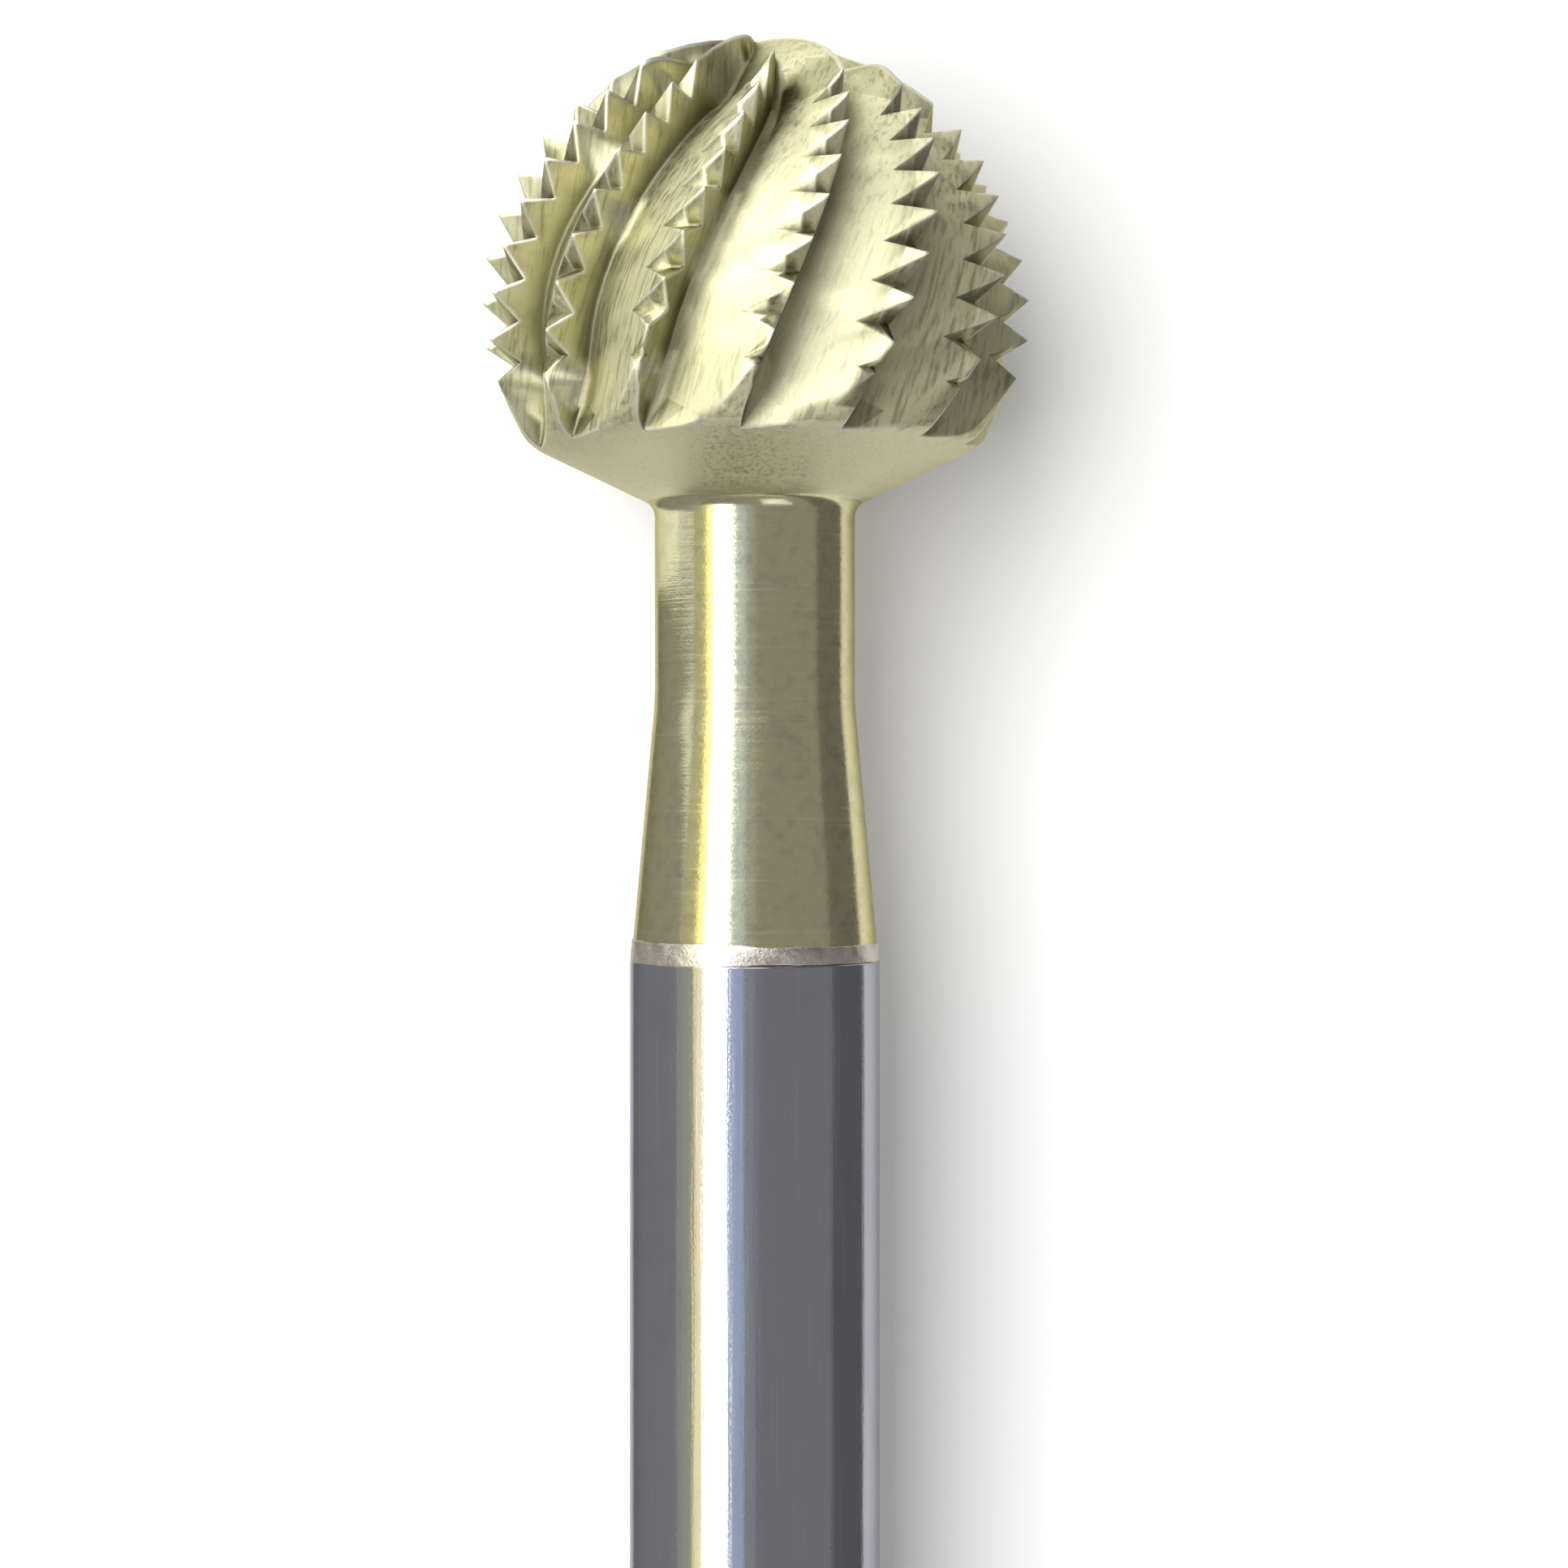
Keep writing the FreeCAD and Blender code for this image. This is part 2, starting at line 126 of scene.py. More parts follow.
class Graph:
    """A short way to write a node tree."""

    def __init__(self, tree: bpy.types.NodeTree) -> None:
        """Empties the tree that is to be filled."""
        self.tree = tree
        tree.nodes.clear()

    def add(self, kind: str, inputs: dict | None = None, **settings: object) -> bpy.types.Node:
        """Adds a node.

        Args:
            kind: The node's type.
            inputs: Values or sockets for its inputs, by name or number.
            **settings: Its other properties.

        Returns:
            The new node.
        """
        node = self.tree.nodes.new(kind)
        for name, value in settings.items():
            setattr(node, name, value)
        for key, value in (inputs or {}).items():
            self.feed(node.inputs[key], value)
        return node

    def feed(self, socket: Socket, value: object) -> None:
        """Links a socket into an input, or sets the input's own value.

        Args:
            socket: The input.
            value: A socket to link, or a value.
        """
        if isinstance(value, Socket):
            self.tree.links.new(value, socket)
        elif isinstance(value, tuple) and len(value) == 3 and socket.type == "RGBA":
            socket.default_value = (*value, 1.0)
        else:
            socket.default_value = value

    def math(self, operation: str, *values: object) -> Socket:
        """The result of a sum on numbers or their sockets."""
        node = self.add("ShaderNodeMath", dict(enumerate(values)), operation=operation)
        return node.outputs[0]

    def vector(self, operation: str, *values: object) -> Socket:
        """The result of a sum on triples or their sockets."""
        node = self.add("ShaderNodeVectorMath", dict(enumerate(values)), operation=operation)
        return node.outputs[0]

    def noise(self, where: Socket, scale: float, detail: float) -> Socket:
        """A smooth noise of about 0.5, with as many finer layers as its detail says."""
        inputs = {"Vector": where, "Scale": scale, "Detail": detail}
        return self.add("ShaderNodeTexNoise", inputs).outputs["Fac"]

    def remap(self, value: Socket, span: Span, to: Span = FULL) -> Socket:
        """A number carried smoothly from one span to another, and held inside it."""
        inputs = {0: value, 1: span[0], 2: span[1], 3: to[0], 4: to[1]}
        return self.add("ShaderNodeMapRange", inputs, interpolation_type="SMOOTHSTEP").outputs[0]

    def mix(self, share: Socket, first: object, second: object) -> Socket:
        """A colour between two others.

        Args:
            share: Socket of a share from 0, the first colour, to 1, the second.
            first: A colour or a socket.
            second: A colour or a socket.

        Returns:
            The colour's socket.
        """
        node = self.add("ShaderNodeMix", {"Factor": share}, data_type="RGBA")
        self.feed(node.inputs[6], first)
        self.feed(node.inputs[7], second)
        return node.outputs[2]


@dataclass(frozen=True)
class Layer:
    """The look of a surface while its material is being built.

    Attributes:
        colour: Socket of its colour.
        roughness: Socket of its roughness.
        normal: Socket of its normal, or nothing where it is the mesh's own.
    """

    colour: Socket
    roughness: Socket
    normal: Socket | None


@dataclass(frozen=True)
class MetalFinish:
    """A machined metal: its colour, its mottling, its machining marks and its sheen.

    Attributes:
        name: The material's name.
        slot: The record's material slot; it is not used.
        colour: Main colour.
        stain: Colour of the darker, browner patches.
        worn: Colour of the thin bright marks.
        roughness: Lowest and highest roughness.
        grain: Which way the machining marks run.
        rim_tint: Tint of what it reflects at a flat angle.
        groove: Depth of the marks, in millimetres.
        stain_scale: Patches for each millimetre.
        stain_share: How strong the patches are.
        stain_span: Part of their noise over which they come in.
        worn_span: Heights of a mark between which it is worn bright.
        worn_share: How strong the bright marks are.
        grit_scale: Grains for each millimetre.
        grit_share: Height of the grit, where that of the marks is 1.
        sheen_span: Part of the marks and the grit that the roughness follows.
    """

    name: str
    slot: str
    colour: Colour
    stain: Colour
    worn: Colour
    roughness: Span
    grain: Grain
    rim_tint: Colour
    groove: float = 0.002
    stain_scale: float = 5.0
    stain_share: float = 1.0
    stain_span: Span = (0.42, 0.72)
    worn_span: Span = (0.58, 0.8)
    worn_share: float = 0.5
    grit_scale: float = 42.0
    grit_share: float = 0.5
    sheen_span: Span = (0.35, 0.65)

    def place(self, graph: Graph) -> Socket:
        """Coordinates in the bur's frame, in millimetres.

        Args:
            graph: The material's tree.

        Returns:
            The coordinates' socket.
        """
        where = graph.add("ShaderNodeTexCoord").outputs["Object"]
        inputs = {
            "Vector": where,
            "Location": tuple(AXIS.origin),
            "Rotation": (AXIS.tilt, 0.0, 0.0),
            "Scale": (MM, MM, MM),
        }
        return graph.add("ShaderNodeMapping", inputs, vector_type="TEXTURE").outputs[0]

    def marks(self, graph: Graph, place: Socket) -> Socket:
        """Height of the fine marks of the last machining, from 0 to 1."""
        stretched = graph.vector("MULTIPLY", place, self.grain.value)
        return graph.noise(stretched, scale=1.0, detail=3.0)

    def dress(self, graph: Graph, place: Socket, marks: Socket, layer: Layer) -> Layer:
        """Changes the plain metal's look where the piece asks for it; here nowhere."""
        return layer

    def build(self) -> bpy.types.Material:
        """Makes the material.

        Returns:
            The material.
        """
        material = bpy.data.materials.new(self.name)
        material.use_nodes = True
        graph = Graph(material.node_tree)
        place = self.place(graph)
        marks = self.marks(graph, place)
        patches = graph.noise(place, self.stain_scale, detail=3.0)
        share = graph.remap(patches, self.stain_span, (0.0, self.stain_share))
        stained = graph.mix(share, self.colour, self.stain)
        share = graph.remap(marks, self.worn_span, (0.0, self.worn_share))
        bright = graph.mix(share, stained, self.worn)
        grit = graph.noise(place, self.grit_scale, detail=1.0)
        grit = graph.math("MULTIPLY", grit, self.grit_share)
        rough = graph.math("ADD", graph.math("MULTIPLY", marks, 1.0 - self.grit_share), grit)
        sheen = graph.remap(rough, self.sheen_span, self.roughness)
        layer = self.dress(graph, place, marks, Layer(bright, sheen, None))
        height = graph.math("ADD", marks, grit)
        inputs = {"Strength": 1.0, "Distance": self.groove * MM, "Height": height}
        if layer.normal:
            inputs["Normal"] = layer.normal
        bump = graph.add("ShaderNodeBump", inputs)
        inputs = {
            "Base Color": layer.colour,
            "Metallic": 1.0,
            "Roughness": layer.roughness,
            "Specular Tint": self.rim_tint,
            "Normal": bump.outputs[0],
        }
        shader = graph.add("ShaderNodeBsdfPrincipled", inputs)
        graph.add("ShaderNodeOutputMaterial", {"Surface": shader.outputs[0]})
        return material


@dataclass(frozen=True)
class CutterFinish(MetalFinish):
    """The coated carbide, whose head was ground last.

    The mesh's attribute holds LAND_MARK on the lands and more on the shoulder's cone.

    Attributes:
        land: Colour of the ground lands.
        land_roughness: Roughness that they have on top.
        flute: Colour of the head's other faces.
        head_roughness: Roughness that the whole head has on top.
        shade_and_clouds: Colour of the painted shade in narrow corners, and of the flutes' clouds
            and streaks.
        rim: Colour of the painted highlight along the edges, and of the shoulder.
        edge: Width over which the edges are eased in the normal and take the painted highlight, in
            millimetres.
        edge_span: Likeness of the true and the eased normal, from a face to a sharp edge.
        corner: Width of the corners that take painted shade, in millimetres.
        corner_shade_span: Openness of a place, from a corner in full painted shade to a clear
            face.
        cloud_scale: Dull clouds for each millimetre of a flute.
        cloud_span: Part of their noise over which they come in.
        cloud_share: How strong the clouds are.
        streak_span: Heights of a mark between which it is a dull streak.
        streak_share: How strong the streaks are.
        cover_span: Heights of a mark between which a land's colour comes in.
        cover_share: What is left of that colour at the bottom of a mark.
        head_grain: Which way the marks run on the head.
        twist: Turn of a blade for each radian of latitude.
        shoulder: Distance from the free end where the head begins.
        shoulder_fade: Half the distance over which its finish comes in.
        samples: Rays for the normal and for the openness.
    """

    land: Colour = (0.72, 0.69, 0.46)
    land_roughness: float = 0.16
    flute: Colour = (0.60, 0.575, 0.37)
    head_roughness: float = 0.25
    shade_and_clouds: Colour = (0.20, 0.185, 0.10)
    rim: Colour = (0.98, 0.95, 0.78)
    edge: float = 0.055
    edge_span: Span = (0.996, 0.94)
    corner: float = 0.36
    corner_shade_span: Span = (0.4, 0.95)
    cloud_scale: float = 2.6
    cloud_span: Span = (0.42, 0.7)
    cloud_share: float = 0.45
    streak_span: Span = (0.5, 0.34)
    streak_share: float = 0.4
    cover_span: Span = (0.34, 0.56)
    cover_share: float = 0.5
    head_grain: Grain = Grain.ALONG_BLADE
    twist: float = 0.42
    shoulder: float = 40.2
    shoulder_fade: float = 0.1
    samples: int = 6

    def untwisted(self, graph: Graph, place: Socket) -> Socket:
        """The coordinates turned back about the axis, so that every blade runs straight.

        Args:
            graph: The material's tree.
            place: Coordinates in the bur's frame.

        Returns:
            The coordinates' socket.
        """
        centred = graph.vector("SUBTRACT", place, (0.0, AXIS.ball_centre, 0.0))
        outward = graph.vector("NORMALIZE", centred)
        rise = graph.add("ShaderNodeSeparateXYZ", {0: outward}).outputs["Y"]
        turn = graph.math("MULTIPLY", graph.math("ARCSINE", rise), -self.twist)
        inputs = {"Vector": place, "Angle": turn}
        return graph.add("ShaderNodeVectorRotate", inputs, rotation_type="Y_AXIS").outputs[0]

    def ahead(self, graph: Graph, place: Socket) -> Socket:
        """Tells the head from the rest.

        Args:
            graph: The material's tree.
            place: Coordinates in the bur's frame.

        Returns:
            The socket of 0 behind the shoulder and 1 on the head.
        """
        along = graph.add("ShaderNodeSeparateXYZ", {0: place}).outputs["Y"]
        span = (self.shoulder - self.shoulder_fade, self.shoulder + self.shoulder_fade)
        return graph.remap(along, span)

    def marks(self, graph: Graph, place: Socket) -> Socket:
        """The marks run round the neck, and along the blades on the head.

        Args:
            graph: The material's tree.
            place: Coordinates in the bur's frame.

        Returns:
            The socket of their height.
        """
        plain = super().marks(graph, place)
        turned = self.untwisted(graph, place)
        stretched = graph.vector("MULTIPLY", turned, self.head_grain.value)
        blades = graph.noise(stretched, scale=1.0, detail=3.0)
        inputs = {"Factor": self.ahead(graph, place), 2: plain, 3: blades}
        return graph.add("ShaderNodeMix", inputs).outputs[0]

    def highlight_and_shade(self, graph: Graph) -> tuple[Socket, Socket, Socket]:
        """Finds the cutting edges, which take a painted highlight, and the narrow corners, which
        take painted shade.

        Args:
            graph: The material's tree.

        Returns:
            Sockets of how strongly an edge takes the painted highlight, how open the place is, and
            the normal eased over edges.
        """
        inputs = {"Radius": self.edge * MM}
        eased = graph.add("ShaderNodeBevel", inputs, samples=self.samples).outputs[0]
        inputs = {0: eased, 1: graph.add("ShaderNodeNewGeometry").outputs["Normal"]}
        alike = graph.add("ShaderNodeVectorMath", inputs, operation="DOT_PRODUCT").outputs["Value"]
        inputs = {"Distance": self.corner * MM}
        around = graph.add(
            "ShaderNodeAmbientOcclusion", inputs, samples=self.samples, only_local=True
        )
        free = graph.remap(around.outputs["AO"], self.corner_shade_span)
        edge = graph.math("MULTIPLY", graph.remap(alike, self.edge_span), free)
        return edge, free, eased

    def dress(self, graph: Graph, place: Socket, marks: Socket, layer: Layer) -> Layer:
        """Lays the head's ground lands, dull flutes, painted shade in narrow corners and a painted
        highlight along the edges over the metal.

        Args:
            graph: The material's tree.
            place: Coordinates in the bur's frame.
            marks: Height of the machining marks.
            layer: The plain metal's look.

        Returns:
            The look.
        """
        ahead = self.ahead(graph, place)
        edge, free, eased = self.highlight_and_shade(graph)
        fresh = graph.add("ShaderNodeAttribute", attribute_name=GROUND).outputs["Fac"]
        clouds = graph.noise(place, self.cloud_scale, detail=4.0)
        clouds = graph.remap(clouds, self.cloud_span, (0.0, self.cloud_share))
        streaks = graph.remap(marks, self.streak_span, (0.0, self.streak_share))
        flute = graph.mix(graph.math("ADD", clouds, streaks), self.flute, self.shade_and_clouds)
        colour = graph.mix(ahead, layer.colour, flute)
        covered = graph.remap(marks, self.cover_span, (self.cover_share, 1.0))
        land = graph.math("MULTIPLY", graph.remap(fresh, (0.0, LAND_MARK)), covered)
        colour = graph.mix(land, colour, self.land)
        # Painted highlight: the convex edges take the pale rim colour; the shoulder's cone takes
        # part of it as its finish.
        rim = graph.math("MAXIMUM", graph.remap(fresh, (LAND_MARK, 1.0)), edge)
        colour = graph.mix(rim, colour, self.rim)
        # Painted shade: on the head, closed corners take the dark colour.
        colour = graph.mix(free, graph.mix(ahead, colour, self.shade_and_clouds), colour)
        rough = graph.math("MULTIPLY_ADD", ahead, self.head_roughness, layer.roughness)
        rough = graph.math("MULTIPLY_ADD", land, self.land_roughness, rough)
        return Layer(colour, rough, eased)


COATED_CARBIDE = CutterFinish(
    name="coated_carbide",
    slot="coated_carbide",
    colour=(0.66, 0.62, 0.39),
    stain=(0.54, 0.49, 0.35),
    worn=(0.80, 0.76, 0.55),
    roughness=(0.11, 0.20),
    grain=Grain.ROUND,
    rim_tint=(0.54, 0.52, 0.36),
    groove=0.0014,
    stain_scale=7.0,
    stain_share=0.7,
)
SHANK_STEEL = MetalFinish(
    name="shank_steel",
    slot="shank_steel",
    colour=(0.42, 0.42, 0.45),
    stain=(0.36, 0.34, 0.40),
    worn=(0.52, 0.52, 0.54),
    roughness=(0.09, 0.17),
    grain=Grain.ALONG_BAR,
    rim_tint=(0.58, 0.58, 0.59),
    groove=0.001,
    stain_scale=1.5,
    stain_share=0.4,
)
SILVER_BRAZE = MetalFinish(
    name="silver_braze",
    slot="silver_braze",
    colour=(0.66, 0.61, 0.53),
    stain=(0.50, 0.45, 0.40),
    worn=(0.76, 0.73, 0.66),
    roughness=(0.30, 0.48),
    grain=Grain.NONE,
    rim_tint=(0.80, 0.78, 0.72),
    groove=0.006,
    stain_scale=7.0,
)


def rounded(corners: list[Corner], steps: int = 6) -> list[Spot]:
    """An outline with its corners rounded by arcs.

    Args:
        corners: Place along the axis, radius, and rounding, of each corner.
        steps: Chords in each arc.

    Returns:
        Place along the axis and radius of each point.
    """
    spots = [Vector(corner[:2]) for corner in corners]
    outline = [tuple(spots[0])]
    for before, corner, after, raw in zip(spots, spots[1:], spots[2:], corners[1:]):
        back = (before - corner).normalized()
        on = (after - corner).normalized()
        half = back.angle(on) / 2.0
        if raw[2] == 0.0:
            outline.append(tuple(corner))
            continue
        run = raw[2] / math.tan(half)
        centre = corner + (back + on).normalized() * raw[2] / math.sin(half)
        start = (corner + back * run - centre).normalized()
        end = (corner + on * run - centre).normalized()
        for step in range(steps + 1):
            point = centre + start.slerp(end, step / steps) * raw[2]
            outline.append(tuple(point))
    outline.append(tuple(spots[-1]))
    return outline


@dataclass
class Lathe:
    """Turns outlines about the bur's axis into mesh.

    Attributes:
        mesh: The mesh being made.
        segments: Facets round the axis.
    """

    mesh: bmesh.types.BMesh
    segments: int = 160

    def ring(self, along: float, radius: float) -> Ring:
        """Adds a ring of points.

        Args:
            along: Its distance from the free end.
            radius: Its radius.

        Returns:
            The points.
        """
        turns = [2.0 * math.pi * step / self.segments for step in range(self.segments)]
        spots = [AXIS.place(radius * math.sin(t), along, radius * math.cos(t)) for t in turns]
        return [self.mesh.verts.new(spot) for spot in spots]

    def skin(self, first: Ring, second: Ring) -> None:
        """Joins two rings by a band of faces.

        Args:
            first: One ring.
            second: The next.
        """
        for step in range(self.segments):
            after = (step + 1) % self.segments
            self.mesh.faces.new((first[step], first[after], second[after], second[step]))

    def cap(self, ring: Ring, along: float) -> None:
        """Closes a ring with a fan about the axis.

        Args:
            ring: The ring.
            along: Its distance from the free end.
        """
        middle = self.mesh.verts.new(AXIS.place(0.0, along, 0.0))
        for step in range(self.segments):
            self.mesh.faces.new((ring[step], ring[(step + 1) % self.segments], middle))

    def turn(self, outline: list[Spot]) -> tuple[Ring, Ring]:
        """Turns an outline.

        Args:
            outline: Place along the axis and radius of each point.

        Returns:
            Its first and last ring.
        """
        rings = [self.ring(along, radius) for along, radius in outline]
        for first, second in zip(rings, rings[1:]):
            self.skin(first, second)
        return rings[0], rings[-1]


def finish_piece(
    name: str, mesh: bmesh.types.BMesh, finish: MetalFinish, node: str, sharp: float
) -> bpy.types.Object:
    """Turns a finished mesh into a piece that stands for a node.

    Args:
        name: The piece's name.
        mesh: Its mesh, which is freed.
        finish: Its finish.
        node: The node that it stands for.
        sharp: Angle in degrees above which an edge stays sharp.

    Returns:
        The piece.
    """
    data = bpy.data.meshes.new(name)
    bmesh.ops.recalc_face_normals(mesh, faces=mesh.faces[:])
    mesh.to_mesh(data)
    mesh.free()
    data.polygons.foreach_set("use_smooth", [True] * len(data.polygons))
    data.set_sharp_from_angle(angle=math.radians(sharp))
    data.materials.append(finish.build())
    piece = bpy.data.objects.new(name, data)
    bpy.context.scene.collection.objects.link(piece)
    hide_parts(node)
    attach(piece, BODY)
    LOG.info("%s stands for %s, %d faces", name, node, len(data.polygons))
    return piece


@dataclass
class CarbideCutter:
    """Head, shoulder, neck and taper, ground from one blank.

    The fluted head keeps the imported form. The turned stretch behind the cut is made again
    with fine facets, and joined to it.

    Attributes:
        rear: Distance of the rear face from the free end.
        rear_radius: Radius of the rear face.
        rear_edge: Rounding of its edge.
        taper_end: Where the taper meets the parallel neck.
        taper_blend: Radius that blends the two.
        neck_radius: Radius of the neck.
        neck_end: Where the neck meets the shoulder's cone.
        neck_fillet: Rounding between the neck and the cone.
        shoulder: Place and radius of the shoulder's edge.
        cut: Place on the cone where the turned stretch starts.
        weld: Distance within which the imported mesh's loose corners are one.
        sharp: Angle in degrees above which an edge stays sharp.
        flute_end: Where the flutes end, from the ball's centre.
        cone_reach: How far the shoulder's cone reaches before and behind that.
        outward_share: How squarely a land or a floor faces outwards, at least.
        rise_share: How far it may lean along the axis.
        shoulder_mark: What marks the shoulder's cone.
        back_share: How squarely the cone's faces look back, at least.
    """

    rear: float = 36.0
    rear_radius: float = 1.15
    rear_edge: float = 0.03
    taper_end: float = 38.3
    taper_blend: float = 4.0
    neck_radius: float = 0.94
    neck_end: float = 40.135
    neck_fillet: float = 0.18
    shoulder: Spot = (40.705, 2.13)
    cut: float = 40.42
    weld: float = 0.0005
    sharp: float = 22.0
    flute_end: float = -1.45
    cone_reach: float = 0.4
    outward_share: float = 0.7
    rise_share: float = 0.6
    shoulder_mark: float = 0.72
    back_share: float = 0.75

    def head(self) -> bmesh.types.BMesh:
        """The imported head, cut off on the shoulder's cone.

        Returns:
            The mesh, open at the cut.
        """
        mesh = bmesh.new()
        mesh.from_mesh(frame["nodes"]["carbide_cutter"].data)
        bmesh.ops.remove_doubles(mesh, verts=mesh.verts[:], dist=self.weld * MM)
        everything = mesh.verts[:] + mesh.edges[:] + mesh.faces[:]
        bmesh.ops.bisect_plane(
            mesh,
            geom=everything,
            plane_co=AXIS.place(0.0, self.cut, 0.0),
            plane_no=AXIS.along,
            clear_inner=True,
        )
        return mesh

    def mark_ground(self, mesh: bmesh.types.BMesh) -> None:
        """Marks the faces that were ground last: lands, flute floors and the shoulder's cone.

        Lands and floors face outwards, and the rake faces and the cross cuts don't.

        Args:
            mesh: The finished mesh.
        """
        layer = mesh.faces.layers.float.new(GROUND)
        centre = AXIS.place(0.0, AXIS.ball_centre, 0.0)
        for face in mesh.faces:
            spot = face.calc_center_median() - centre
            normal = face.normal
            along = spot.dot(AXIS.along) / MM
            looks_back = normal.dot(AXIS.along) < -self.back_share
            if looks_back and abs(along - self.flute_end) < self.cone_reach:
                face[layer] = self.shoulder_mark
                continue
            outward = spot.normalized()
            aside = AXIS.along.cross(outward).normalized()
            rise = outward.cross(aside)
            flat = normal.dot(outward) > self.outward_share and along > self.flute_end
            level = abs(normal.dot(rise)) < self.rise_share
            face[layer] = LAND_MARK if flat and level else 0.0

    def outline(self) -> list[Spot]:
        """The turned stretch, from the cut back to the rear face.

        Returns:
            Place along the axis and radius of each point.
        """
        share = (self.cut - self.neck_end) / (self.shoulder[0] - self.neck_end)
        radius = self.neck_radius + share * (self.shoulder[1] - self.neck_radius)
        return rounded(
            [
                (self.cut, radius, 0.0),
                (self.neck_end, self.neck_radius, self.neck_fillet),
                (self.taper_end, self.neck_radius, self.taper_blend),
                (self.rear, self.rear_radius, self.rear_edge),
                (self.rear, self.rear_radius / 2.0, 0.0),
            ]
        )

    def build(self) -> bpy.types.Object:
        """Makes the piece.

        Returns:
            The piece.
        """
        mesh = self.head()
        rim = [edge for edge in mesh.edges if edge.is_boundary]
        lathe = Lathe(mesh)
        outline = self.outline()
        first, last = lathe.turn(outline[1:])
        lathe.cap(last, self.rear)
        joint = [mesh.edges.get((a, b)) for a, b in zip(first, first[1:] + first[:1])]
        bmesh.ops.bridge_loops(mesh, edges=rim + joint)
        bmesh.ops.recalc_face_normals(mesh, faces=mesh.faces[:])
        self.mark_ground(mesh)
        return finish_piece("cutter", mesh, COATED_CARBIDE, "carbide_cutter", self.sharp)


@dataclass
class GroundShank:
    """The plain shank.

    Attributes:
        length: Its length.
        radius: Its radius.
        face_ring: Radius of the ring inside each end face.
        front_chamfer: Chamfer beside the braze.
        end_chamfer: Chamfer at the free end.
        edge: Rounding of the chamfers' edges.
        sharp: Angle in degrees above which an edge stays sharp.
    """

    length: float = 35.88
    radius: float = AXIS.shank_diameter / 2.0
    face_ring: float = AXIS.shank_diameter / 8.0
    front_chamfer: float = 0.02
    end_chamfer: float = 0.3
    edge: float = 0.01
    sharp: float = 40.0

    def outline(self) -> list[Spot]:
        """The shank's outline from the free end to the braze.

        Returns:
            Place along the axis and radius of each point.
        """
        return rounded(
            [
                (0.0, self.face_ring, 0.0),
                (0.0, self.radius - self.end_chamfer, self.edge),
                (self.end_chamfer, self.radius, self.edge),
                (self.length - self.front_chamfer, self.radius, self.edge),
                (self.length, self.radius - self.front_chamfer, self.edge),
                (self.length, self.face_ring, 0.0),
            ],
            steps=3,
        )

    def build(self) -> bpy.types.Object:
        """Makes the piece.

        Returns:
            The piece.
        """
        mesh = bmesh.new()
        lathe = Lathe(mesh)
        first, last = lathe.turn(self.outline())
        lathe.cap(first, 0.0)
        lathe.cap(last, self.length)
        return finish_piece("shank", mesh, SHANK_STEEL, "steel_shank", self.sharp)


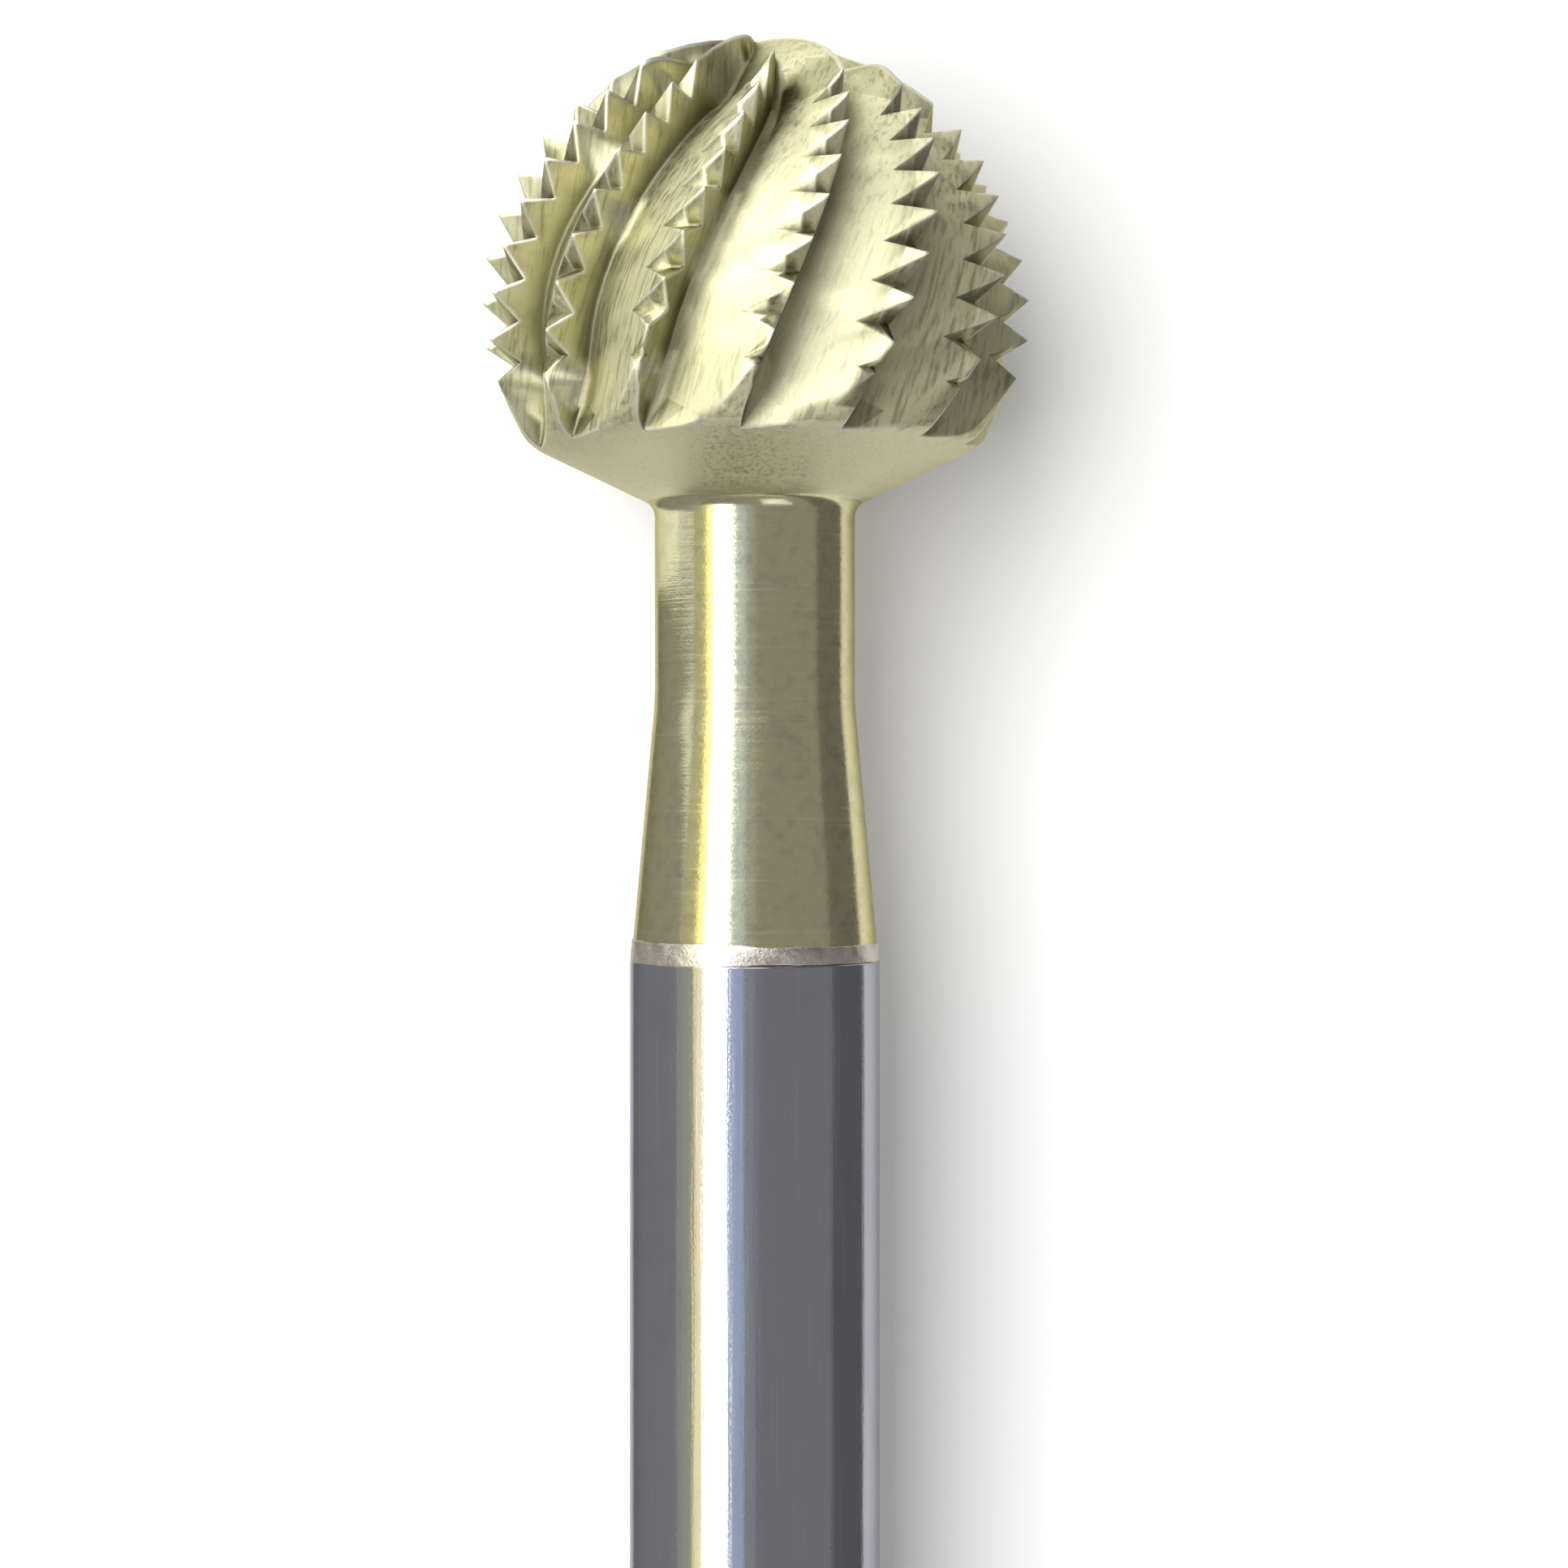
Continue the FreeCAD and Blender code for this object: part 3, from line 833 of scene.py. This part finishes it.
@dataclass
class BrazeBand:
    """The band of braze that fills the joint, wider where it wetted the metal.

    Attributes:
        place: Distance of the band's middle from the free end.
        radius: Radius of its middle line, inside the metal.
        depth: Its thickness, inwards.
        width: Its width along the axis.
        swell: How much wider it is on its wet side, as a share.
        wet_span: Places across the bur, as shares of the radius, between which it dries.
        wander: How far its margins wander along the axis.
        wander_scale: How often they do.
        margin_gap: What sets the noise of its two margins apart.
        taper: How much its radius falls for each unit towards the tip.
        sag: How deep its dips are, as a share of its thickness.
        sag_scale: How often it dips.
        corner: Rounding of its edges, as a share of its thickness.
        corner_steps: Points on each rounded edge.
        steps: Points round the ring.
        sharp: Angle in degrees above which an edge stays sharp.
    """

    place: float = 35.96
    radius: float = 1.122
    depth: float = 0.088
    width: float = 0.17
    swell: float = 0.35
    wet_span: Span = (-1.0, 0.3)
    wander: float = 0.07
    wander_scale: float = 2.2
    margin_gap: float = 7.0
    taper: float = 0.12
    sag: float = 0.06
    sag_scale: float = 5.0
    corner: float = 0.15
    corner_steps: int = 4
    steps: int = 260
    sharp: float = 60.0

    def strip(self, graph: Graph, size: bpy.types.NodeOutputs) -> Socket:
        """The rounded strip, swept round a circle.

        Args:
            graph: The band's tree.
            size: The tree's inputs.

        Returns:
            The socket of its mesh.
        """
        inputs = {"Resolution": size["Steps"], "Radius": size["Radius"]}
        circle = graph.add("GeometryNodeCurvePrimitiveCircle", inputs)
        inputs = {"Curve": circle.outputs[0]}
        path = graph.add("GeometryNodeSetCurveNormal", inputs, mode="Z_UP")
        inputs = {"Width": size["Depth"], "Height": size["Width"]}
        outline = graph.add("GeometryNodeCurvePrimitiveQuadrilateral", inputs)
        radius = graph.math("MULTIPLY", size["Depth"], self.corner)
        inputs = {"Curve": outline.outputs[0], "Count": self.corner_steps, "Radius": radius}
        eased = graph.add("GeometryNodeFilletCurve", inputs, mode="POLY")
        inputs = {"Curve": path.outputs[0], "Profile Curve": eased.outputs[0]}
        return graph.add("GeometryNodeCurveToMesh", inputs).outputs[0]

    def drift(
        self, graph: Graph, size: bpy.types.NodeOutputs, turned: Socket, rise: Socket
    ) -> Socket:
        """How far a point moves along the axis, as the margins wander and the band swells.

        Args:
            graph: The band's tree.
            size: The tree's inputs.
            turned: The point's direction from the axis.
            rise: Its place along the axis.

        Returns:
            The socket of the distance.
        """
        side = graph.math("MULTIPLY", graph.math("SIGN", rise), self.margin_gap)
        apart = graph.add("ShaderNodeCombineXYZ", {"Z": side}).outputs[0]
        ripple = graph.noise(graph.vector("ADD", turned, apart), self.wander_scale, detail=4.0)
        ripple = graph.math("ADD", ripple, -0.5)
        across = graph.add("ShaderNodeSeparateXYZ", {0: turned}).outputs["X"]
        wet = graph.remap(across, self.wet_span, (1.0, 0.0))
        wider = graph.math("MULTIPLY", graph.math("MULTIPLY", wet, size["Swell"]), rise)
        return graph.math("MULTIPLY_ADD", ripple, size["Wander"], wider)

    def outward(
        self, graph: Graph, size: bpy.types.NodeOutputs, turned: Socket, rise: Socket
    ) -> Socket:
        """How far a point moves away from the axis, as the band tapers and dips.

        Args:
            graph: The band's tree.
            size: The tree's inputs.
            turned: The point's direction from the axis.
            rise: Its place along the axis.

        Returns:
            The socket of the distance.
        """
        fall = graph.math("MULTIPLY", graph.math("MULTIPLY", size["Taper"], rise), -1.0)
        depth = graph.math("MULTIPLY", size["Depth"], self.sag)
        dip = graph.math("MULTIPLY", graph.noise(turned, self.sag_scale, detail=2.0), depth)
        return graph.math("SUBTRACT", fall, dip)

    def tree(self) -> bpy.types.NodeTree:
        """The node tree that sweeps the strip round the joint and lets it wander.

        Returns:
            The tree.
        """
        tree = bpy.data.node_groups.new("braze_band", "GeometryNodeTree")
        graph = Graph(tree)
        for name in ("Radius", "Depth", "Width", "Swell", "Wander", "Taper"):
            tree.interface.new_socket(name, in_out="INPUT", socket_type="NodeSocketFloat")
        tree.interface.new_socket("Steps", in_out="INPUT", socket_type="NodeSocketInt")
        tree.interface.new_socket("Finish", in_out="INPUT", socket_type="NodeSocketMaterial")
        tree.interface.new_socket("Geometry", in_out="OUTPUT", socket_type="NodeSocketGeometry")
        size = graph.add("NodeGroupInput").outputs
        where = graph.add("GeometryNodeInputPosition").outputs[0]
        rise = graph.add("ShaderNodeSeparateXYZ", {0: where}).outputs["Z"]
        turned = graph.vector("NORMALIZE", graph.vector("MULTIPLY", where, (1.0, 1.0, 0.0)))
        outward = self.outward(graph, size, turned, rise)
        spread = graph.add("ShaderNodeCombineXYZ", {"X": outward, "Y": outward}).outputs[0]
        drift = self.drift(graph, size, turned, rise)
        lift = graph.add("ShaderNodeCombineXYZ", {"Z": drift}).outputs[0]
        offset = graph.vector("ADD", graph.vector("MULTIPLY", turned, spread), lift)
        inputs = {"Geometry": self.strip(graph, size), "Offset": offset}
        shaped = graph.add("GeometryNodeSetPosition", inputs)
        real = graph.add("GeometryNodeRealizeInstances", {0: shaped.outputs[0]})
        inputs = {"Geometry": real.outputs[0], "Material": size["Finish"]}
        painted = graph.add("GeometryNodeSetMaterial", inputs)
        graph.add("NodeGroupOutput", {0: painted.outputs[0]})
        return tree

    def build(self) -> bpy.types.Object:
        """Makes the piece.

        Returns:
            The piece.
        """
        holder = bpy.data.objects.new("band_holder", bpy.data.meshes.new("band_holder"))
        bpy.context.scene.collection.objects.link(holder)
        modifier = holder.modifiers.new("band", "NODES")
        modifier.node_group = self.tree()
        values = {
            "Radius": self.radius * MM,
            "Depth": self.depth * MM,
            "Width": self.width * MM,
            "Swell": self.swell,
            "Wander": self.wander * MM,
            "Taper": self.taper,
            "Steps": self.steps,
            "Finish": SILVER_BRAZE.build(),
        }
        for item in modifier.node_group.interface.items_tree:
            if item.in_out == "INPUT":
                modifier[item.identifier] = values[item.name]
        seen = holder.evaluated_get(bpy.context.evaluated_depsgraph_get())
        data = bpy.data.meshes.new_from_object(seen)
        bpy.data.objects.remove(holder)
        turn = Matrix((AXIS.right, -AXIS.up, AXIS.along)).transposed().to_4x4()
        data.transform(Matrix.Translation(AXIS.place(0.0, self.place, 0.0)) @ turn)
        mesh = bmesh.new()
        mesh.from_mesh(data)
        bpy.data.meshes.remove(data)
        return finish_piece("braze", mesh, SILVER_BRAZE, "braze_layer", self.sharp)


@dataclass
class PhotoCamera:
    """A camera where the photograph was taken from, almost straight above the bur.

    Attributes:
        frame_pixels: Width and height of the photograph.
        shank_pixels: Width of the shank in it.
        field_of_view: Angle across the frame, in degrees.
        centre_pixels: Ball's centre to the frame's centre, to the right and down.
        orbit: Angle of the camera about the bur's axis, in degrees to the right.
        clip: Nearest and furthest distance that it sees, in metres.
    """

    frame_pixels: float = 1932.0
    shank_pixels: float = 308.0
    field_of_view: float = 28.0
    centre_pixels: Spot = (36.0, 577.0)
    orbit: float = 4.5
    clip: Span = (0.001, 10.0)

    def build(self) -> bpy.types.Object:
        """Makes the camera and gives it to the scene.

        Returns:
            The camera.
        """
        pixel = AXIS.shank_diameter / self.shank_pixels
        half = self.frame_pixels / 2.0 * pixel
        away = half / math.tan(math.radians(self.field_of_view) / 2.0)
        angle = math.radians(self.orbit)
        back = AXIS.up * math.cos(angle) + AXIS.right * math.sin(angle)
        right = AXIS.along.cross(back)
        aside, down = (value * pixel for value in self.centre_pixels)
        target = AXIS.place(0.0, AXIS.ball_centre - down, 0.0) + right * aside * MM
        data = bpy.data.cameras.new("photo_camera")
        data.angle = math.radians(self.field_of_view)
        data.clip_start, data.clip_end = self.clip
        camera = bpy.data.objects.new("photo_camera", data)
        turn = Matrix((right, AXIS.along, back)).transposed()
        camera.matrix_world = Matrix.Translation(target + back * away * MM) @ turn.to_4x4()
        bpy.context.scene.collection.objects.link(camera)
        bpy.context.scene.camera = camera
        return camera


def studio_sheet(name: str, corners: list[Corner]) -> tuple[bpy.types.Object, Graph]:
    """Makes a flat sheet that belongs to the studio, with a material that is still empty.

    Args:
        name: Its name and its material's.
        corners: Its four corners, in metres.

    Returns:
        The sheet and its material's tree.
    """
    mesh = bpy.data.meshes.new(name)
    mesh.from_pydata(corners, [], [(0, 1, 2, 3)])
    material = bpy.data.materials.new(name)
    material.use_nodes = True
    mesh.materials.append(material)
    sheet = bpy.data.objects.new(name, mesh)
    bpy.context.scene.collection.objects.link(sheet)
    return sheet, Graph(material.node_tree)


@dataclass(frozen=True)
class Card:
    """A plain studio card round the bur that only reflections show.

    Attributes:
        name: The card's name.
        near: Place across the bur and height of one of its edges, in millimetres.
        far: The same for the opposite edge.
        level: How light it is.
        ends: Where it starts and ends, in millimetres from the floor's middle along the bur.
    """

    name: str
    near: Spot
    far: Spot
    level: float
    ends: Span = (-120.0, 120.0)

    def build(self) -> bpy.types.Object:
        """Makes the card.

        Returns:
            The card.
        """
        (near_x, near_z), (far_x, far_z), (start, end) = self.near, self.far, self.ends
        corners = [
            (near_x * MM, start * MM, near_z * MM),
            (far_x * MM, start * MM, far_z * MM),
            (far_x * MM, end * MM, far_z * MM),
            (near_x * MM, end * MM, near_z * MM),
        ]
        card, graph = studio_sheet(self.name, corners)
        light = graph.add("ShaderNodeEmission", {"Color": WHITE, "Strength": self.level})
        graph.add("ShaderNodeOutputMaterial", {"Surface": light.outputs[0]})
        card.visible_camera = False
        card.visible_diffuse = False
        card.visible_shadow = False
        return card


@dataclass(frozen=True)
class Lamp:
    """A long flat lamp that lies along the bur.

    Attributes:
        name: The lamp's name.
        angle: Its middle's angle from straight up, in degrees to the left.
        spread: The angle that it covers across the bur, in degrees.
        level: How light its face is.
        colour: Its colour.
        shines: Whether it shows in metal, and if not, it lights the floor.
        away: Its distance, in millimetres.
        ends: Where it starts and ends, in millimetres along the bur.
    """

    name: str
    angle: float
    spread: float
    level: float
    colour: Colour = WHITE
    shines: bool = True
    away: float = 130.0
    ends: Span = (-15.0, 300.0)

    def build(self) -> bpy.types.Object:
        """Makes the lamp.

        Returns:
            The lamp.
        """
        data = bpy.data.lights.new(self.name, "AREA")
        data.shape = "RECTANGLE"
        data.size = 2.0 * self.away * math.tan(math.radians(self.spread) / 2.0) * MM
        data.size_y = (self.ends[1] - self.ends[0]) * MM
        data.energy = self.level * math.pi * data.size * data.size_y
        data.color = self.colour
        angle = math.radians(self.angle)
        out = AXIS.up * math.cos(angle) - AXIS.right * math.sin(angle)
        lamp = bpy.data.objects.new(self.name, data)
        turn = Matrix((AXIS.along.cross(out), AXIS.along, out)).transposed()
        middle = AXIS.place(0.0, sum(self.ends) / 2.0, 0.0) + out * self.away * MM
        lamp.matrix_world = Matrix.Translation(middle) @ turn.to_4x4()
        lamp.visible_camera = False
        lamp.visible_glossy = self.shines
        lamp.visible_diffuse = not self.shines
        bpy.context.scene.collection.objects.link(lamp)
        return lamp


@dataclass
class Studio:
    """A pale floor, soft lamps, cards that only reflections show, and an even sky.

    Attributes:
        floor_half: Half the floor's width, in metres.
        floor_level: How light the floor's colour is.
        floor_lift: Light that the floor adds near the bur where it is seen or reflected.
        far_lift: Light that it adds far from the lamps.
        floor_fade: Distances between which the one becomes the other, in metres.
        sky: How light the sky is; where it is seen or reflected, it is white.
        lamps: The lamps.
        cards: The cards round the bur.
    """

    floor_half: float = 1.5
    floor_level: float = 0.94
    floor_lift: float = 0.08
    far_lift: float = 0.68
    floor_fade: Span = (0.07, 0.45)
    sky: float = 0.34
    lamps: tuple[Lamp, ...] = (
        Lamp("softbox", 31.2, 22.4, 4.0),
        Lamp("warm_edge", 47.5, 9.0, 1.5, (1.0, 0.88, 0.32)),
        Lamp("warm_fade", 59.0, 14.0, 0.25, (1.0, 0.98, 0.35)),
        Lamp("cool_edge", 12.5, 15.0, 0.65, (0.52, 0.68, 1.0)),
        Lamp("cool_fade", -0.5, 11.0, 0.16, (0.6, 0.75, 1.0)),
        Lamp("head_panel", 34.0, 46.0, 2.6, ends=(75.0, 380.0)),
        Lamp("head_fill", -6.0, 26.0, 1.9, ends=(80.0, 380.0)),
        Lamp("back_fill", -33.0, 34.0, 1.0, ends=(-150.0, -20.0)),
        Lamp("top_light", 20.0, 40.0, 4.4, shines=False, ends=(-15.0, 145.0)),
    )
    cards: tuple[Card, ...] = (
        Card("left_card", (-2.9, 0.05), (-45.0, 20.0), 0.37, (-120.0, 17.3)),
        Card("low_card", (-4.5, 0.05), (-16.0, 2.0), 0.3, (19.6, 27.0)),
        Card("right_card", (5.2, 0.05), (45.0, 10.5), 0.19),
        Card("head_flag", (35.0, 115.0), (140.0, 60.0), 0.12, (46.0, 220.0)),
        Card("ceiling", (-1000.0, 400.0), (3000.0, 400.0), 0.34, (-3000.0, 3000.0)),
    )

    def seen(self, graph: Graph) -> Socket:
        """Tells what is looked at or reflected from what only casts light.

        Args:
            graph: The material's or world's tree.

        Returns:
            The socket of 1 for such rays and 0 for others.
        """
        path = graph.add("ShaderNodeLightPath")
        seen = graph.math("MAXIMUM", path.outputs["Is Camera Ray"], path.outputs["Is Glossy Ray"])
        return graph.math("MAXIMUM", seen, path.outputs["Is Transmission Ray"])

    def build_floor(self) -> bpy.types.Object:
        """Makes the floor.

        Returns:
            The floor.
        """
        half = self.floor_half
        corners = [(-half, -half, 0.0), (half, -half, 0.0), (half, half, 0.0), (-half, half, 0.0)]
        floor, graph = studio_sheet("floor", corners)
        level = (self.floor_level,) * 3
        paint = graph.add("ShaderNodeBsdfDiffuse", {"Color": level})
        where = graph.add("ShaderNodeTexCoord").outputs["Object"]
        away = graph.add("ShaderNodeVectorMath", {0: where}, operation="LENGTH").outputs["Value"]
        lift = graph.remap(away, self.floor_fade, (self.floor_lift, self.far_lift))
        lift = graph.math("MULTIPLY", self.seen(graph), lift)
        glow = graph.add("ShaderNodeEmission", {"Color": WHITE, "Strength": lift})
        both = graph.add("ShaderNodeAddShader", {0: paint.outputs[0], 1: glow.outputs[0]})
        graph.add("ShaderNodeOutputMaterial", {"Surface": both.outputs[0]})
        return floor

    def build_sky(self) -> bpy.types.World:
        """Makes the even sky.

        Returns:
            The world.
        """
        world = bpy.data.worlds.new("studio")
        world.use_nodes = True
        graph = Graph(world.node_tree)
        strength = graph.math("MULTIPLY_ADD", self.seen(graph), 1.0 - self.sky, self.sky)
        light = graph.add("ShaderNodeBackground", {"Color": WHITE, "Strength": strength})
        graph.add("ShaderNodeOutputWorld", {"Surface": light.outputs[0]})
        bpy.context.scene.world = world
        return world

    def build(self) -> None:
        """Makes the whole studio."""
        self.build_floor()
        for card in self.cards:
            card.build()
        for lamp in self.lamps:
            lamp.build()
        self.build_sky()
        bpy.context.scene.view_settings.view_transform = "Standard"


def main() -> None:
    """Dresses the bur and sets up the picture."""
    logging.basicConfig(level=logging.INFO)
    CarbideCutter().build()
    BrazeBand().build()
    GroundShank().build()
    PhotoCamera().build()
    Studio().build()


if __name__ == "__main__":
    main()
